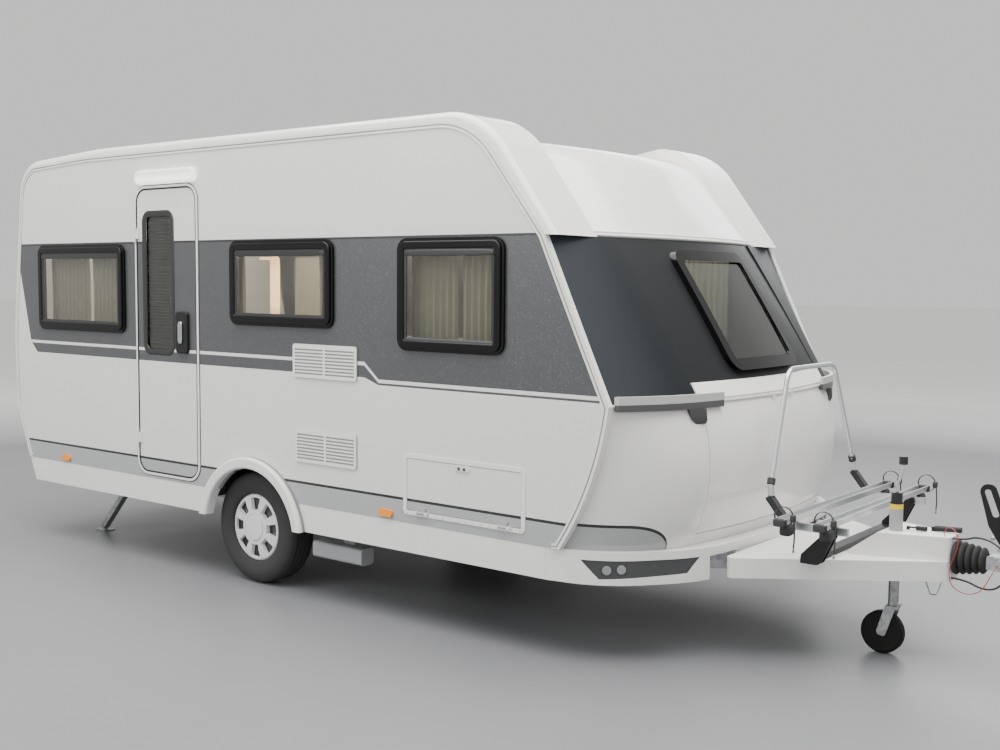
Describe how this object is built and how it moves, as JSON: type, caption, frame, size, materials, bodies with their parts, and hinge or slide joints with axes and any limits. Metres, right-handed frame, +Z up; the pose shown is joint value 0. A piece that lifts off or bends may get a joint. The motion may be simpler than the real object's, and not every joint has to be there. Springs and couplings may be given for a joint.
{
  "type": "travel caravan",
  "caption": "Single-axle travel caravan with hinged door, flap and locker lid, tilting cycle carrier, folding corner steadies and a sliding, swivelling jockey wheel.",
  "frame": {"origin": "on the floor, under the middle of the outline", "axes": "+X forwards to the coupling, +Y to the left side, +Z up"},
  "size_m": [6.388, 2.384, 2.56],
  "materials": {
    "ribbed_wall": "hammered aluminium sheet, off-white paint",
    "white_shell": "glossy off-white gel coat over moulded shell",
    "dark_shell": "glossy dark blue-grey coat",
    "white_plastic": "smooth white moulding",
    "grey_plastic": "mid-grey moulding",
    "floor_board": "dark sealed underbody board",
    "red_lens": "red lamp lens",
    "amber_lens": "amber lamp lens",
    "milky_lens": "milky translucent lens",
    "clear_lens": "clear lamp lens",
    "black_gloss": "polished black frame",
    "smoked_glass": "smoked acrylic pane",
    "zinc_steel": "hot-dip galvanised steel",
    "black_rubber": "matte black rubber",
    "black_plastic": "matte black plastic",
    "tyre_rubber": "black tyre rubber",
    "silver_tube": "anodised tube and channel",
    "red_plastic": "red plastic coating"
  },
  "bodies": {
    "caravan": {"wall_left": "ribbed_wall", "wall_right": "ribbed_wall", "roof_edge_left": "white_shell", "roof_edge_right": "white_shell", "roof": "white_shell", "roof_hood": "white_shell", "rear_wall": "white_shell", "front_wall": "white_shell", "front_corners_upper": "dark_shell", "front_corners_lower": "white_shell", "front_rail": "white_plastic", "grab_handles": "grey_plastic", "floor": "floor_board", "skirts": "white_plastic", "wheel_arches": "white_plastic", "front_bumper": "white_plastic", "rear_bumper": "white_plastic", "rear_lamps": "red_lens", "window_frames": "black_gloss", "window_panes": "smoked_glass", "vents": "white_plastic", "side_markers": "amber_lens", "awning_light": "milky_lens", "side_frames": "white_plastic", "chassis": "zinc_steel", "drawbar": "zinc_steel", "drawbar_cover": "white_plastic", "gaiter": "black_rubber", "coupling_head": "zinc_steel", "hand_levers": "black_plastic", "axle": "zinc_steel", "movers": "grey_plastic", "jockey_tube": "zinc_steel", "carrier_base": "black_plastic", "roof_hatches": "milky_lens", "front_lamps": "clear_lens", "trailer_cable": "black_rubber", "breakaway_cable": "red_plastic"},
    "wheel_left_body": {"wheel_left": "white_plastic", "tyre_left": "tyre_rubber"},
    "wheel_right_body": {"wheel_right": "white_plastic", "tyre_right": "tyre_rubber"},
    "door_body": {"door": "ribbed_wall", "door_pane": "smoked_glass", "door_handle": "black_plastic"},
    "flap_body": {"service_flap": "ribbed_wall"},
    "lid_body": {"locker_lid": "white_shell"},
    "carrier_body": {"carrier": "silver_tube"},
    "steady_rear_left_body": {"steady_rear_left": "zinc_steel"},
    "steady_rear_right_body": {"steady_rear_right": "zinc_steel"},
    "steady_front_left_body": {"steady_front_left": "zinc_steel"},
    "steady_front_right_body": {"steady_front_right": "zinc_steel"},
    "jockey_leg_body": {"jockey_leg": "zinc_steel"},
    "jockey_fork_body": {"jockey_fork": "zinc_steel"},
    "jockey_wheel_body": {"jockey_wheel": "tyre_rubber"}
  },
  "joints": [
    {"name": "wheel_left_spin", "type": "hinge", "parent": "caravan", "child": "wheel_left_body", "pos_m": [-0.78797, 1, 0.32], "axis": [0, 1, 0], "continuous": true},
    {"name": "wheel_right_spin", "type": "hinge", "parent": "caravan", "child": "wheel_right_body", "pos_m": [-0.78797, -1, 0.32], "axis": [0, 1, 0], "continuous": true},
    {"name": "door_swing", "type": "hinge", "parent": "caravan", "child": "door_body", "pos_m": [-1.77197, -1.164, 1.4], "axis": [0, 0, -1], "range_deg": [0, 150]},
    {"name": "flap_swing", "type": "hinge", "parent": "caravan", "child": "flap_body", "pos_m": [0.79703, -1.162, 0.581], "axis": [1, 0, 0], "range_deg": [0, 150]},
    {"name": "carrier_tilt", "type": "hinge", "parent": "caravan", "child": "carrier_body", "pos_m": [2.38903, 0, 0.64], "axis": [0, 1, 0], "range_deg": [0, 75]},
    {"name": "lid_lift", "type": "hinge", "parent": "caravan", "child": "lid_body", "pos_m": [1.89406, 0, 1.187], "axis": [0, -1, 0], "range_deg": [0, 45]},
    {"name": "steady_rear_left_swing", "type": "hinge", "parent": "caravan", "child": "steady_rear_left_body", "pos_m": [-2.33797, 0.79, 0.405], "axis": [0, 1, 0], "range_deg": [0, 46.79]},
    {"name": "steady_rear_right_swing", "type": "hinge", "parent": "caravan", "child": "steady_rear_right_body", "pos_m": [-2.33797, -0.79, 0.405], "axis": [0, 1, 0], "range_deg": [0, 46.79]},
    {"name": "steady_front_left_swing", "type": "hinge", "parent": "caravan", "child": "steady_front_left_body", "pos_m": [0.57203, 0.79, 0.405], "axis": [0, 1, 0], "range_deg": [0, 46.79]},
    {"name": "steady_front_right_swing", "type": "hinge", "parent": "caravan", "child": "steady_front_right_body", "pos_m": [0.57203, -0.79, 0.405], "axis": [0, 1, 0], "range_deg": [0, 46.79]},
    {"name": "jockey_slide", "type": "slide", "parent": "caravan", "child": "jockey_leg_body", "axis": [0, 0, 1], "range_m": [0, 0.15]},
    {"name": "jockey_swivel", "type": "hinge", "parent": "jockey_leg_body", "child": "jockey_fork_body", "pos_m": [2.50203, -0.05, 0.2], "axis": [0, 0, 1], "continuous": true},
    {"name": "jockey_spin", "type": "hinge", "parent": "jockey_fork_body", "child": "jockey_wheel_body", "pos_m": [2.45703, -0.05, 0.1], "axis": [0, 1, 0], "continuous": true}
  ],
  "couplings": [
    {"joint": "lid_lift", "follows": "carrier_tilt", "ratio": 0.6}
  ]
}
